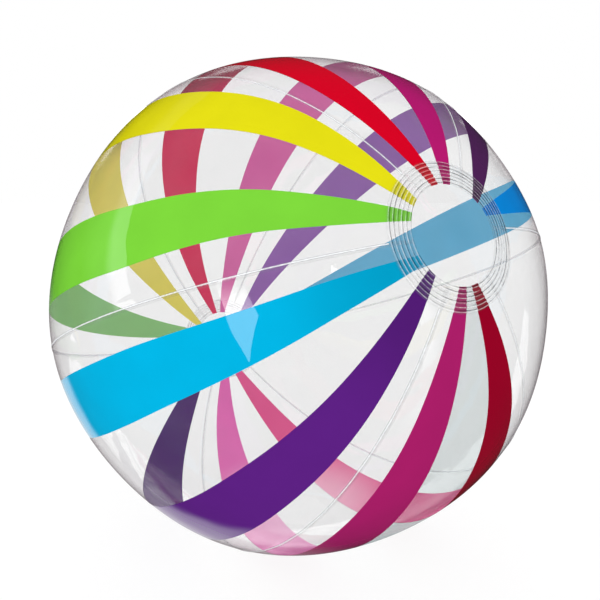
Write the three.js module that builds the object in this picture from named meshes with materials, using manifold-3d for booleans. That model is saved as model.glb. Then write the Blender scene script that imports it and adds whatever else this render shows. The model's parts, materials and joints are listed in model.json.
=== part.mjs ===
// Inflatable beach ball: six film gores lap-welded edge to edge, a round disc welded over their
// ends at each pole, and a push-in valve with a plug on a strap and a check flap.
// Millimetres and degrees, +Z up, with the origin on the ground under the middle of the ball.
import * as THREE from "three";
import { mergeVertices } from "three/addons/utils/BufferGeometryUtils.js";
import Module from "manifold-3d";

const wasm = await Module();
wasm.setup();

// The inflated ball
const BALL_RADIUS = 340;
const POLAR_RATIO = 0.9865; // the ball is a little shorter along its pole axis
const LOBE = 2; // how far the seams stand out at the equator, and the gore middles lie in
const FILM = 0.3;
const GAP = 0.3; // between pieces that touch

// How the ball lies: its pole axis points this way in plan, rises this much from the ground,
// and the ball is rolled about it
const POLE_TURN_DEG = -60.4;
const POLE_RISE_DEG = 22.4;
const ROLL_DEG = 212;
const CONTACT_RADIUS = 44; // of the flat that the ball's weight presses into it

// Gores, with longitudes counted from one of the seams
const GORE_NAMES = [
  "gore_yellow_green",
  "gore_blue_purple_lower",
  "gore_magenta_red_lower",
  "gore_clear_valve",
  "gore_blue_purple_upper",
  "gore_magenta_red_upper",
];
const GORE_COLOURS = [0xc6dc24, 0x1f7fd0, 0xc4124a, 0xeef3f4, 0x2068b0, 0xc8144f];
const GORE_WIDTH_DEG = 360 / GORE_NAMES.length;
const GORE_STEP_DEG = 10;
const LAP_DEG = 1; // the strip of each gore that is welded over the next one
const LAP_RISE_DEG = 0.5; // where it climbs onto the next one
const LAP_OFFSET = FILM + GAP;

// End discs, as angles from the pole
const DISC_BORE_DEG = 8.9; // the gores end here, and the weld ridges begin
const DISC_RIM_DEG = 13.4;
const DISC_OFFSET = 2 * LAP_OFFSET;
const RIDGES = 6;
const RIDGE_HEIGHT = 0.8;
const DISC_SEGMENTS = 36;

// Valve, in the middle of the clear gore, in its own frame: z points out of the ball, and z = 0
// is the film's outer face
const VALVE_GORE = 3;
const VALVE_FROM_POLE_DEG = 128;
const VALVE_FLAT_DEG = 3.4; // half the side of the flat that the stiff flange makes in the film
const FILM_HOLE_RADIUS = 11.5;
const FLANGE = { inner: 9.8, outer: 17, top: -FILM - GAP, thickness: 1 };
const COLLAR = { mouth: 8.9, foot: 6.2, top: -0.9, bottom: -14.5, wall: 0.6 };
const STEM = { outer: 5.5, bore: 4, lip: 6, lipHeight: 1, seat: 2.8, top: 0.6, bottom: -15 };
const SEAT_THICKNESS = 1;
const PLUG = { head: 6.3, headTop: 2.6, neck: 3.65, nose: 3.2, noseZ: -2.6 };
const STRAP = { halfWidth: 2.5, thickness: 1, fold: -8.45 };
const FLAP = { radius: 4.6, thickness: 0.5, tabEnd: -5.4, halfWidth: 2 };
const VALVE_SEGMENTS = 24;

const RADIANS = THREE.MathUtils.DEG2RAD;

// ---- placing ----

const ball = new THREE.Group();
const turned = new THREE.Group();
const tilted = new THREE.Group();
const rolled = new THREE.Group(); // the ball's own frame, with +Z at its front pole
ball.add(turned);
turned.add(tilted);
tilted.add(rolled);
turned.rotation.z = POLE_TURN_DEG * RADIANS;
tilted.rotation.y = (90 - POLE_RISE_DEG) * RADIANS;
rolled.rotation.z = ROLL_DEG * RADIANS;
ball.updateMatrixWorld(true);

function clearFilm(colour) {
  return new THREE.MeshStandardMaterial({
    color: colour,
    roughness: 0.12,
    metalness: 0,
    transparent: true,
    opacity: 0.35,
  });
}

function softPlastic() {
  return new THREE.MeshStandardMaterial({ color: 0xe9eef0, roughness: 0.35, metalness: 0 });
}

function addMesh(parent, name, geometry, material) {
  const mesh = new THREE.Mesh(geometry, material);
  mesh.name = name;
  parent.add(mesh);
  return mesh;
}

// ---- the film's surface ----

function direction(lonDeg, colDeg) {
  const ring = Math.sin(colDeg * RADIANS);
  const x = ring * Math.cos(lonDeg * RADIANS);
  const y = ring * Math.sin(lonDeg * RADIANS);
  return new THREE.Vector3(x, y, Math.cos(colDeg * RADIANS));
}

// Places where the film is pressed or held flat: { normal, distance }
const flats = [];

// A point of the film's outer face, or of a face that lies this far off it. The lobes fade out
// towards the discs, which hold the gores round.
function onBall(lonDeg, colDeg, offset = 0) {
  const rim = Math.sin(DISC_RIM_DEG * RADIANS);
  const fade = Math.max(0, (Math.sin(colDeg * RADIANS) - rim) / (1 - rim));
  const lobe = LOBE * fade * Math.cos(GORE_NAMES.length * lonDeg * RADIANS);
  const point = direction(lonDeg, colDeg).multiplyScalar(BALL_RADIUS + lobe + offset);
  point.z *= POLAR_RATIO;
  for (const flat of flats) {
    const beyond = point.dot(flat.normal) - flat.distance - offset;
    if (beyond > 0) point.addScaledVector(flat.normal, -beyond);
  }
  return point;
}

// The longitude and the angle from the pole of the film's furthest point along a direction
function furthestAlong(normal) {
  const reach = ([lon, col]) => onBall(lon, col).dot(normal);
  let best = [Math.atan2(normal.y, normal.x) / RADIANS, Math.acos(normal.z) / RADIANS];
  for (let step = 1; step > 0.01; step /= 2) {
    for (let walk = 0; walk < 6; walk++) {
      const [lon, col] = best;
      const around = [[lon + step, col], [lon - step, col], [lon, col + step], [lon, col - step]];
      best = around.reduce((a, b) => (reach(b) > reach(a) ? b : a), best);
    }
  }
  return best;
}

const toOwnFrame = rolled.getWorldQuaternion(new THREE.Quaternion()).invert();
const down = new THREE.Vector3(0, 0, -1).applyQuaternion(toOwnFrame);
const [contactLon, contactCol] = furthestAlong(down);
const contactDistance =
  onBall(contactLon, contactCol).dot(down) - CONTACT_RADIUS ** 2 / (2 * BALL_RADIUS);

const valveLon = (VALVE_GORE + 0.5) * GORE_WIDTH_DEG;
const valveLonHalf = VALVE_FLAT_DEG / Math.sin(VALVE_FROM_POLE_DEG * RADIANS);
const valveLonLines = [valveLon - valveLonHalf, valveLon + valveLonHalf];
const valveColLines = [VALVE_FROM_POLE_DEG - VALVE_FLAT_DEG, VALVE_FROM_POLE_DEG + VALVE_FLAT_DEG];
const valveNormal = direction(valveLon, VALVE_FROM_POLE_DEG);
const valveDistance = Math.min(
  ...valveLonLines.flatMap((lon) => valveColLines.map((col) => onBall(lon, col).dot(valveNormal))),
);
flats.push({ normal: down, distance: contactDistance });
flats.push({ normal: valveNormal, distance: valveDistance });
ball.position.z = 0;
turned.position.z = contactDistance;

// ---- gores ----

// Even lines from start to end, and extra ones. An even line close to an extra one gives way.
function gridLines(start, end, step, extra) {
  const count = Math.round((end - start) / step);
  const even = [];
  for (let i = 1; i < count; i++) even.push(start + ((end - start) * i) / count);
  const kept = even.filter((line) => extra.every((other) => Math.abs(other - line) > step / 4));
  return [start, ...kept, ...extra, end].sort((a, b) => a - b);
}

// Lines through the contact flat, so that its outline is close to round
function contactLines(middle, stretch) {
  const reach = CONTACT_RADIUS / BALL_RADIUS / RADIANS;
  return [-1, -0.68, 0, 0.68, 1].map((part) => middle + part * reach * stretch);
}

const colLines = gridLines(DISC_BORE_DEG, 180 - DISC_BORE_DEG, GORE_STEP_DEG, [
  ...contactLines(contactCol, 1),
  ...valveColLines,
]);

// A closed slab between an outer and an inner face over one grid. Its sides follow the rim.
function slab(lonLines, colRows, outerOffset) {
  const rows = colRows.length;
  const at = (i, j) => i * rows + j;
  const points = [];
  for (const depth of [0, FILM]) {
    for (const lon of lonLines) {
      for (const col of colRows) points.push(onBall(lon, col, outerOffset(lon) - depth));
    }
  }
  const inner = lonLines.length * rows;
  const faces = [];
  const quad = (a, b, c, d) => faces.push(a, b, c, a, c, d);
  for (let i = 0; i < lonLines.length - 1; i++) {
    for (let j = 0; j < rows - 1; j++) {
      const ring = [at(i, j), at(i, j + 1), at(i + 1, j + 1), at(i + 1, j)];
      quad(...ring);
      quad(...ring.map((index) => index + inner).reverse());
    }
  }
  const rim = [];
  for (let j = 0; j < rows - 1; j++) rim.push(at(0, j));
  for (let i = 0; i < lonLines.length - 1; i++) rim.push(at(i, rows - 1));
  for (let j = rows - 1; j > 0; j--) rim.push(at(lonLines.length - 1, j));
  for (let i = lonLines.length - 1; i > 0; i--) rim.push(at(i, 0));
  rim.forEach((from, k) => {
    const to = rim[(k + 1) % rim.length];
    quad(to, from, from + inner, to + inner);
  });
  const geometry = new THREE.BufferGeometry();
  geometry.setAttribute(
    "position",
    new THREE.Float32BufferAttribute(points.flatMap((p) => p.toArray()), 3),
  );
  geometry.setIndex(faces);
  return geometry;
}

// A gore runs from its own seam over the next one, where its edge strip lies on its neighbour
function goreGeometry(number) {
  const seam = number * GORE_WIDTH_DEG;
  const nextSeam = seam + GORE_WIDTH_DEG;
  const inThisGore = (lon) => lon > seam && lon < nextSeam;
  const contactStretch = 1 / Math.sin(contactCol * RADIANS);
  const turns = contactLon < 0 ? 360 : 0;
  const extra = [...contactLines(contactLon + turns, contactStretch), ...valveLonLines];
  const body = gridLines(
    seam + LAP_DEG,
    nextSeam - LAP_RISE_DEG,
    GORE_STEP_DEG,
    extra.filter(inThisGore),
  );
  const lonLines = [seam, ...body, nextSeam, nextSeam + LAP_DEG];
  return slab(lonLines, colLines, (lon) => (lon >= nextSeam ? LAP_OFFSET : 0));
}

function solidOf(geometry) {
  const bare = geometry.clone();
  bare.deleteAttribute("normal");
  bare.deleteAttribute("uv");
  const merged = mergeVertices(bare, 1e-4);
  return new wasm.Manifold(
    new wasm.Mesh({
      numProp: 3,
      vertProperties: merged.attributes.position.array,
      triVerts: new Uint32Array(merged.index.array),
    }),
  );
}

function geometryOf(solid) {
  const { vertProperties, triVerts } = solid.getMesh();
  const geometry = new THREE.BufferGeometry();
  geometry.setAttribute("position", new THREE.BufferAttribute(vertProperties, 3));
  geometry.setIndex(new THREE.BufferAttribute(triVerts, 1));
  return geometry;
}

const valve = new THREE.Group();
valve.position.copy(valveNormal).multiplyScalar(valveDistance);
valve.quaternion.setFromUnitVectors(new THREE.Vector3(0, 0, 1), valveNormal);
rolled.add(valve);

function withValveHole(geometry) {
  const punch = new THREE.CylinderGeometry(FILM_HOLE_RADIUS, FILM_HOLE_RADIUS, 10, 32);
  punch.rotateX(Math.PI / 2);
  valve.updateMatrix();
  punch.applyMatrix4(valve.matrix);
  return geometryOf(solidOf(geometry).subtract(solidOf(punch)));
}

GORE_NAMES.forEach((name, number) => {
  const whole = goreGeometry(number);
  const geometry = number === VALVE_GORE ? withValveHole(whole) : whole;
  addMesh(rolled, name, geometry, clearFilm(GORE_COLOURS[number]));
});

// ---- end discs ----

// A solid of revolution about Z from [radius, z] pairs, run from the top of the outside down
function lathe(profile, segments) {
  const points = profile.map(([radius, z]) => new THREE.Vector2(radius, z)).reverse();
  return new THREE.LatheGeometry(points, segments).rotateX(Math.PI / 2);
}

function discProfile() {
  const ringPoint = (col, offset) => {
    const point = onBall(0, col, DISC_OFFSET + offset);
    return [point.x, point.z];
  };
  const crown = [0, DISC_BORE_DEG / 2];
  const pitch = (DISC_RIM_DEG - DISC_BORE_DEG) / RIDGES;
  const outside = crown.map((col) => ringPoint(col, FILM));
  for (let ridge = 0; ridge < RIDGES; ridge++) {
    const start = DISC_BORE_DEG + ridge * pitch;
    outside.push(ringPoint(start, FILM));
    outside.push(ringPoint(start + pitch / 2, FILM + RIDGE_HEIGHT));
  }
  outside.push(ringPoint(DISC_RIM_DEG, FILM));
  const band = [DISC_RIM_DEG, (DISC_BORE_DEG + DISC_RIM_DEG) / 2, DISC_BORE_DEG];
  const inside = [...band, ...crown.reverse()].map((col) => ringPoint(col, 0));
  return [...outside, ...inside];
}

for (const [name, flip] of [["end_disc_front", 0], ["end_disc_back", Math.PI]]) {
  const disc = addMesh(rolled, name, lathe(discProfile(), DISC_SEGMENTS), clearFilm(0xf2f6f7));
  disc.rotation.x = flip;
}

// ---- valve ----

function bar(xFrom, xTo, halfWidth, zFrom, zTo) {
  const box = new THREE.BoxGeometry(xTo - xFrom, 2 * halfWidth, zTo - zFrom);
  return box.translate((xFrom + xTo) / 2, 0, (zFrom + zTo) / 2);
}

function joined(a, b) {
  return geometryOf(solidOf(a).add(solidOf(b)));
}

function flangeGeometry() {
  const { inner, outer, top, thickness } = FLANGE;
  const bottom = top - thickness;
  return lathe([[inner, top], [outer, top], [outer, bottom], [inner, bottom], [inner, top]],
    VALVE_SEGMENTS);
}

// The skirt that folds in when the stem is pushed home: a funnel from the flange to the stem's foot
function collarGeometry() {
  const { mouth, foot, top, bottom, wall } = COLLAR;
  return lathe([[mouth, top], [mouth + wall, top], [foot + wall, bottom], [foot, bottom], [mouth, top]],
    VALVE_SEGMENTS);
}

function stemGeometry() {
  const { outer, bore, lip, lipHeight, seat, top, bottom } = STEM;
  const profile = [
    [bore, top],
    [lip, top],
    [lip, top - lipHeight],
    [outer, top - lipHeight - 0.5],
    [outer, bottom],
    [seat, bottom],
    [seat, bottom + SEAT_THICKNESS],
    [bore, bottom + SEAT_THICKNESS + 0.8],
    [bore, top],
  ];
  return lathe(profile, VALVE_SEGMENTS);
}

// A tapered nose under a thumb-sized head, and the strap's upper leg out to the fold
function plugGeometry() {
  const headBottom = STEM.top + GAP;
  const profile = [
    [0, PLUG.headTop],
    [PLUG.head - 0.6, PLUG.headTop],
    [PLUG.head, PLUG.headTop - 0.6],
    [PLUG.head, headBottom],
    [PLUG.neck, headBottom],
    [PLUG.neck, STEM.top],
    [PLUG.nose, PLUG.noseZ],
    [0, PLUG.noseZ],
  ];
  const leg = bar(STRAP.fold, -PLUG.neck, STRAP.halfWidth, headBottom, headBottom + STRAP.thickness);
  return joined(lathe(profile, VALVE_SEGMENTS), leg);
}

function strapGeometry() {
  return bar(STRAP.fold, -STEM.lip - GAP, STRAP.halfWidth, STEM.top - STRAP.thickness, STEM.top);
}

function flapGeometry() {
  const top = STEM.bottom - GAP;
  const bottom = top - FLAP.thickness;
  const leaf = lathe([[0, top], [FLAP.radius, top], [FLAP.radius, bottom], [0, bottom]], VALVE_SEGMENTS);
  return joined(leaf, bar(FLAP.tabEnd, -FLAP.radius / 2, FLAP.halfWidth, bottom, top));
}

addMesh(valve, "valve_flange", flangeGeometry(), softPlastic());
addMesh(valve, "valve_collar", collarGeometry(), softPlastic());
addMesh(valve, "valve_stem", stemGeometry(), softPlastic());
addMesh(valve, "plug_strap", strapGeometry(), softPlastic());
addMesh(valve, "valve_plug", plugGeometry(), softPlastic());
addMesh(valve, "check_flap", flapGeometry(), softPlastic());

export default ball;
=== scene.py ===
import json
import math

import bpy
import numpy as np
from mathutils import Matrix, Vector


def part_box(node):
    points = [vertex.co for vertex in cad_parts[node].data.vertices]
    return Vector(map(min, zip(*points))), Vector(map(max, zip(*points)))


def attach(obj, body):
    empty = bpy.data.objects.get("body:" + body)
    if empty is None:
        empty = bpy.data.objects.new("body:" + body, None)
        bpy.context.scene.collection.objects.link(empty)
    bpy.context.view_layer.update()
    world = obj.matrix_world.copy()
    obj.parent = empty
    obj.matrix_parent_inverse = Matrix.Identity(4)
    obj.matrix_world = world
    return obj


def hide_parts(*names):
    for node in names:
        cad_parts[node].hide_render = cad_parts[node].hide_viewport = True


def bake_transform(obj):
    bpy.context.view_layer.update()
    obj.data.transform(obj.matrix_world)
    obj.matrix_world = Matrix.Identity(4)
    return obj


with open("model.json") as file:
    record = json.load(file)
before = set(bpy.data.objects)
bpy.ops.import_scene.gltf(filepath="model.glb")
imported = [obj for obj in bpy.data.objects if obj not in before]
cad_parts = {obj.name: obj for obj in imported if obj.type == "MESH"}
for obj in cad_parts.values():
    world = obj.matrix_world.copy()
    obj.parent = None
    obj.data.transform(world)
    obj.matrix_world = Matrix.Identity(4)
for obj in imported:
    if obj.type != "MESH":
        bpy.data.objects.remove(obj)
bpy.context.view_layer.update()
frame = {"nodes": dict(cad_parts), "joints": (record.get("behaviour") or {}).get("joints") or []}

MM = 0.001

# ---- the ball's driving dimensions, as in the CAD model ----

BALL_RADIUS = 340 * MM
POLAR_RATIO = 0.9865
LOBE = 2 * MM  # how far the seams stand out at the equator, and the gore middles lie in
FILM = 0.3 * MM
LAP_OFFSET = 0.6 * MM  # of the edge strip that lies on the next gore
DISC_OFFSET = 0.95 * MM
DISC_BORE_DEG = 8.9  # the gores end here, and the weld ridges begin
DISC_RIM_DEG = 13.4
RIDGES = 6
RIDGE_HEIGHT = 0.7 * MM
GORE_WIDTH_DEG = 60
VALVE_LON_DEG = 210
FLANGE_DEPTH = 0.6 * MM  # the flange's top, below the film's outer face
HOLE_RADIUS = 11.5 * MM

LAP_WIDTH = 4.5 * MM
LAP_RISE_DEG = 0.5
WELD_WIDTH = 2.1 * MM  # the line of weld along the lap
WELD_HEIGHT = 0.12 * MM

# Small gathers in the film: two lots that run out from the discs, and ripples across the seams
GATHER_HEIGHT = 0.22 * MM
GATHERS_AROUND = 17
FINE_GATHERS_AROUND = 29
GATHER_FADE_DEG = 9
RIPPLE_HEIGHT = 0.16 * MM
RIPPLES_PER_TURN = 48
RIPPLE_FADE_DEG = 2.5

# The lines on each weld ridge, a painted dark refraction line and a painted highlight: their middle
# and half width in its pitch, the seed and the reach of their long and short dashes, and how much
# of them shows: at least, by long and by short dashes
RIDGE_LINES = {
    "dark": ((0.25, 0.15), ((11, 12), (12, 2)), (0.15, 0.9, 0.5)),
    "white": ((0.58, 0.13), ((13, 10), (14, 2)), (0.35, 0.8, 0.4)),
}

# Stripes are drawn about the middle of their gore, and drawn in where they near a pole
STRIPE_SPREAD_DEG = 15.9
STRIPE_SPREAD_DROP_DEG = 7.2
STRIPE_SPREAD_REACH_DEG = 7.5
STRIPE_WIDTH_DEG = 13.1
STRIPE_WIDTH_DROP_DEG = 3.5
STRIPE_WIDTH_REACH_DEG = 3.5
SHIFT_HELD_DEG = 30  # a print's sideways shift lasts to here, and is gone by the second angle
SHIFT_GONE_DEG = 62

# The valve, in millimetres in its own frame: radii, and heights from the film's outer face
FLANGE = {"inner": 9.8, "outer": 17, "top": -0.6, "bottom": -1.6, "groove": 0.15, "groove_half": 0.2}
FLANGE_GROOVES = (16, 15, 14, 13)
COLLAR = {"mouth": 9.1, "mouth_outer": 9.75, "top": -0.9, "foot": 5.55, "foot_outer": 6.3, "bottom": -14.5}
STEM = {
    "outer": 5.5, "bore": 4, "seat": 2.8, "lip": 6, "top": 0.6, "lip_foot": -0.4, "neck": -0.9,
    "bead": 5.75, "bead_top": -4.0, "bead_bottom": -5.2, "bead_slope": 0.2,
    "seat_top": -13.2, "seat_slope": 0.8, "bottom": -15,
}
PLUG = {
    "head": 6.3, "rim": 1, "boss": 4.6, "neck": 3.65, "nose": 3.2,
    "top": 2.6, "dish": 0.5, "dish_middle": 0.6, "underside": 0.9, "nose_z": -2.6,
}
STRAP = {
    "half_width": 2.5, "thickness": 0.7, "fold_x": -8.4, "fold_z": 0.8, "reach": 0.6, "rise": 0.55,
    "blend_x": -8.6, "blend_low": 0.15, "blend_high": 1.35,
}
FLAP = {"radius": 4.6, "top": -15.3, "bottom": -15.8, "tab_end": -5.4, "half_width": 2.0, "corner": 0.4}

# How fine the meshes are
GORE_STEPS = 146
GORE_ROWS_PER_RIDGE = 8
DISC_ROWS_PER_RIDGE = 12
DISC_CROWN_ROWS = 12
DISC_SEGMENTS = 240
VALVE_WINDOW_DEG = 5.0  # half the side of the part of the clear gore that is rings around the valve
VALVE_RINGS = 14
VALVE_SEGMENTS = 96
SHARP_DEG = 40

# ---- colours, as sRGB ----

# Each ink from outside the ball, and from inside it, where it lies behind the film; the inside colours are
# painted light, lit and shaded copies of the inks as the light through them shows them
INKS = {
    "yellow": ((229, 222, 20), (198, 189, 84)),
    "green": ((126, 215, 60), (118, 170, 104)),
    "blue": ((0, 184, 232), (90, 162, 192)),
    "purple": ((95, 33, 134), (58, 6, 88)),
    "magenta": ((186, 24, 113), (190, 90, 146)),
    "red": ((217, 1, 35), (188, 34, 76)),
    # painted shade: the inks of the two gores on the shaded side are darker copies of blue, purple,
    # magenta and red
    "shade_side_blue": ((4, 138, 224), (84, 156, 188)),
    "shade_side_purple": ((80, 34, 88), (126, 84, 150)),
    "shade_side_magenta": ((174, 30, 106), (200, 92, 158)),
    "shade_side_red": ((154, 1, 37), (198, 72, 124)),
}
# painted glow of the inks' inside faces, in place of the light that comes through them
INSIDE_GLOW = 0.5
FLOOR_PALE = (240, 230, 238)  # what the floor's light makes of the inks low in the ball
CEILING_DARK = (60, 28, 40)  # what the dark ceiling makes of them high in its front
PALE_HEIGHTS = (-0.01, 0.035)  # most at the first height and none from the second up
PALE_SHARE = 0.5
DARK_HEIGHTS = (0.53, 0.6)  # none at the first height and most from the second up
DARK_DEPTHS = (-0.04, 0.14)  # most in front of the first y, and none behind the second
DARK_SHARE = 0.7
PAINTED_SHADE_GREY = (240, 243, 243)  # painted shade: the film greyed between the stripes of one gore
PAINTED_SHADE_GORE = 2
GREY_HELD_DEG = 80  # it is grey from the front pole to here, and clear beyond the second angle
GREY_GONE_DEG = 100
GROOVE_SHADE = 0.12  # painted shade: how much darker the ink is made in the grooves of the ridged weld
# Gores with painted shade that darkens their ink toward one end: how much, and where it begins and is full
INK_SHADES = {1: (0.25, 38, 16), 2: (0.12, 45, 80)}

# Clear film: its tint, and at glancing angles; the share it scatters; how much it reflects at
# least and at most; its roughness and grain; and for marked film the tint and the share of its
# dark lines, which are painted shade, and the share of its white ones, which are painted
# highlights, on the weld partly its real white haze
FILM_LOOKS = {
    "film": {
        "tint": (254, 254, 254), "limb_tint": (200, 195, 197), "haze": 0.022,
        "least": 0.04, "most": 0.1, "roughness": 0.02,
    },
    "weld": {
        "tint": (252, 253, 253), "limb_tint": (214, 212, 214), "haze": 0.03,
        "least": 0.05, "most": 0.2, "roughness": 0.1, "grain": 0.2,
        "dark_tint": (196, 198, 203), "dark_share": 0.6, "white_share": 0.5,
    },
    "ridged": {
        "tint": (254, 254, 254), "limb_tint": (200, 195, 197), "haze": 0.008,
        "least": 0.02, "most": 0.1, "roughness": 0.05, "grain": 0.1,
        "dark_tint": (46, 48, 56), "dark_share": 0.9, "white_share": 0.42,
    },
}
FILM_SHOWN = (0.93, 0.95, 0.96, 0.3)
LIMB_POWER = 8.0  # how late the tint deepens toward a glancing angle
GLANCING_POWER = 5.0  # how late the reflection grows there
SCATTERED = (246, 248, 249)
# painted glow that keeps the white lines bright, though they are no lamp
LINE_GLOW = 0.3
THICK_INK = 0.92  # a colour's level where it lies thick, and where it lies thin
THIN_INK = 1.06
WHITE = (1, 1, 1, 1)
BLACK = (0, 0, 0, 1)
INK_ROUGHNESS = 0.02
INK_SPECULAR = 0.5
INSIDE_ROUGHNESS = 0.15
INSIDE_SPECULAR = 0.08
VINYL = (226, 233, 236)
VINYL_DEPTH = (240, 244, 246)
VINYL_CLEAR_SHARE = 0.35
VINYL_ROUGHNESS = 0.32

# Unevenness: how many patches to a metre, and how fine their edges are
HAZE_PATCHES = (14, 3)
LINE_BREAKS = (500, 2)
INK_PATCHES = (22, 4)
INK_SMEARS = (60, 3)
VINYL_PATCHES = (120, 3)
# The same for bumps, with how strong they are, unless a film's look says it, and how deep
FILM_WAVES = ((9, 2), 0.12, 20 * MM)
WELD_GRAIN = ((420, 3), 1 * MM)
VINYL_GRAIN = ((900, 2), 0.15, 0.2 * MM)

# Name, CAD node, slot, the two inks in order of longitude, the print's shift in degrees, and where
# the weld line runs across the lap: 0 at the seam and 1 at the lap's free edge
GORES = [
    ("skin_yellow_green", "gore_yellow_green", "film_yellow_green", ("yellow", "green"), -2.7, 0.0),
    ("skin_blue_purple_lower", "gore_blue_purple_lower", "film_blue_purple", ("blue", "purple"), 1.4, 0.0),
    # this gore and the upper blue and purple one carry the painted shade copies of their inks
    (
        "skin_magenta_red_lower", "gore_magenta_red_lower", "film_magenta_red",
        ("shade_side_magenta", "shade_side_red"), 1.1, 0.5,
    ),
    ("skin_clear", "gore_clear_valve", "film_clear", (), 0, 0.5),
    (
        "skin_blue_purple_upper", "gore_blue_purple_upper", "film_blue_purple",
        ("shade_side_blue", "shade_side_purple"), 1.2, 0.5,
    ),
    (
        "skin_magenta_red_upper", "gore_magenta_red_upper", "film_magenta_red",
        ("magenta", "red"), 1.1, 1.0,
    ),
]


# ---- places, taken from the frame ----

def node_points(name):
    mesh = frame["nodes"][name].data
    points = np.empty(3 * len(mesh.vertices))
    mesh.vertices.foreach_get("co", points)
    return points.reshape(-1, 3)


def box_middle(name):
    low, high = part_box(name)
    return (np.array(low) + np.array(high)) / 2


def unit(vector):
    return np.array(vector) / np.linalg.norm(vector)


def joint_axis(name):
    found = next(joint for joint in frame["joints"] if joint["name"] == name)
    return unit(found["axis"])


CENTRE = (box_middle("end_disc_front") + box_middle("end_disc_back")) / 2
POLE = unit(node_points("end_disc_front").mean(0) - node_points("end_disc_back").mean(0))
VALVE_OUT = joint_axis("stem_pull")
VALVE_ACROSS = -joint_axis("plug_flip")
VALVE_SIDE = np.cross(VALVE_ACROSS, VALVE_OUT)
VALVE_DISTANCE = ((node_points("valve_flange") - CENTRE) @ VALVE_OUT).max() + FLANGE_DEPTH
VALVE_PLACE = CENTRE + VALVE_DISTANCE * VALVE_OUT

# The ball's own axes: Z at the front pole, and X at longitude 0, worked out from the valve's
towards_valve = unit(VALVE_OUT - (VALVE_OUT @ POLE) * POLE)
beside_valve = np.cross(POLE, towards_valve)
turn = math.radians(-VALVE_LON_DEG)
OWN_X = math.cos(turn) * towards_valve + math.sin(turn) * beside_valve
OWN_AXES = np.column_stack([OWN_X, np.cross(POLE, OWN_X), POLE])
VALVE_COL_DEG = math.degrees(math.acos(VALVE_OUT @ POLE))


def in_valve(x, y, z):
    """A point given in millimetres in the valve's frame, in the row frame."""
    return VALVE_PLACE + MM * (x * VALVE_SIDE + y * VALVE_ACROSS + z * VALVE_OUT)


# ---- the film's surface ----

def smooth(t):
    t = np.clip(t, 0, 1)
    return t * t * (3 - 2 * t)


def from_nearest_pole(col):
    return np.minimum(col, 180 - col)


def across_weld(col):
    """0 where the ridged weld begins, at the disc's bore, and 1 at its rim."""
    return (from_nearest_pole(col) - DISC_BORE_DEG) / (DISC_RIM_DEG - DISC_BORE_DEG)


def ridge_phase(col):
    """1 on a crest of the ridged weld, and 0 in its grooves and away from it."""
    across = across_weld(col)
    wave = 0.5 - 0.5 * np.cos(2 * np.pi * RIDGES * across)
    return np.where((across > 0) & (across < 1), wave, 0)


def ink_shade(number, col):
    """Painted shade on the ink: how much darker it is made in the weld's grooves, and toward one end of
    some gores.
    """
    across = across_weld(col)
    in_weld = (across > 0) & (across < 1)
    shade = np.where(in_weld, GROOVE_SHADE * (1 - ridge_phase(col)) ** 3, 0)
    if number in INK_SHADES:
        amount, start, full = INK_SHADES[number]
        shade = shade + amount * smooth((col - start) / (full - start))
    return np.clip(shade, 0, 1)


def pulse(phase, middle, half_width):
    """1 at the middle of a line, and 0 from this far off it."""
    return np.clip(1 - np.abs(phase - middle) / half_width, 0, 1)


def patchy(seed, shape, reach):
    """Smooth noise of 0 to 1 around each of several rings, with this many steps between its knots."""
    rings, steps = shape
    knots = np.random.default_rng(seed).random((rings, steps // reach))
    places = np.arange(steps) / reach
    before = places.astype(int) % knots.shape[1]
    after = (before + 1) % knots.shape[1]
    part = smooth(places - places.astype(int))
    return knots[:, before] * (1 - part) + knots[:, after] * part


def puckers(lon, col):
    """Small gathers that run out from the discs and stand across the seams."""
    beyond_rim = np.maximum(0, from_nearest_pole(col) - DISC_RIM_DEG)
    fine = 0.7 * np.sin(np.radians(FINE_GATHERS_AROUND * lon + 40))
    gathers = np.sin(np.radians(GATHERS_AROUND * lon)) + fine
    near_disc = GATHER_HEIGHT * gathers * smooth(beyond_rim / 3) * np.exp(-beyond_rim / GATHER_FADE_DEG)
    to_seam = np.abs((lon + GORE_WIDTH_DEG / 2) % GORE_WIDTH_DEG - GORE_WIDTH_DEG / 2)
    drift = 25 * np.sin(np.radians(2.3 * col))
    ripple = np.sin(np.radians(RIPPLES_PER_TURN * col + drift)) * np.exp(-to_seam / RIPPLE_FADE_DEG)
    near_seam = RIPPLE_HEIGHT * ripple * smooth(beyond_rim / 8)
    return near_disc + near_seam


def surface(lon, col, offset=0.0):
    """Points of the film's outer face, or of a face that lies this far off it, in the row frame."""
    lon, col, offset = np.broadcast_arrays(np.asarray(lon, float), col, offset)
    ring, along = np.sin(np.radians(col)), np.cos(np.radians(col))
    rim = math.sin(math.radians(DISC_RIM_DEG))
    fade = np.maximum(0, (ring - rim) / (1 - rim))
    radius = BALL_RADIUS + LOBE * fade * np.cos(np.radians(360 / GORE_WIDTH_DEG * lon)) + offset
    radius = radius + RIDGE_HEIGHT * ridge_phase(col) ** 0.7 + puckers(lon, col)
    x = radius * ring * np.cos(np.radians(lon))
    y = radius * ring * np.sin(np.radians(lon))
    own = np.stack([x, y, radius * POLAR_RATIO * along], -1)
    points = own @ OWN_AXES.T + CENTRE
    over_valve = (points - CENTRE) @ VALVE_OUT - VALVE_DISTANCE - offset
    points = points - np.maximum(0, over_valve)[..., None] * VALVE_OUT
    points[..., 2] = np.maximum(points[..., 2], -np.minimum(offset, 0))
    return points


# ---- meshes ----

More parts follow.
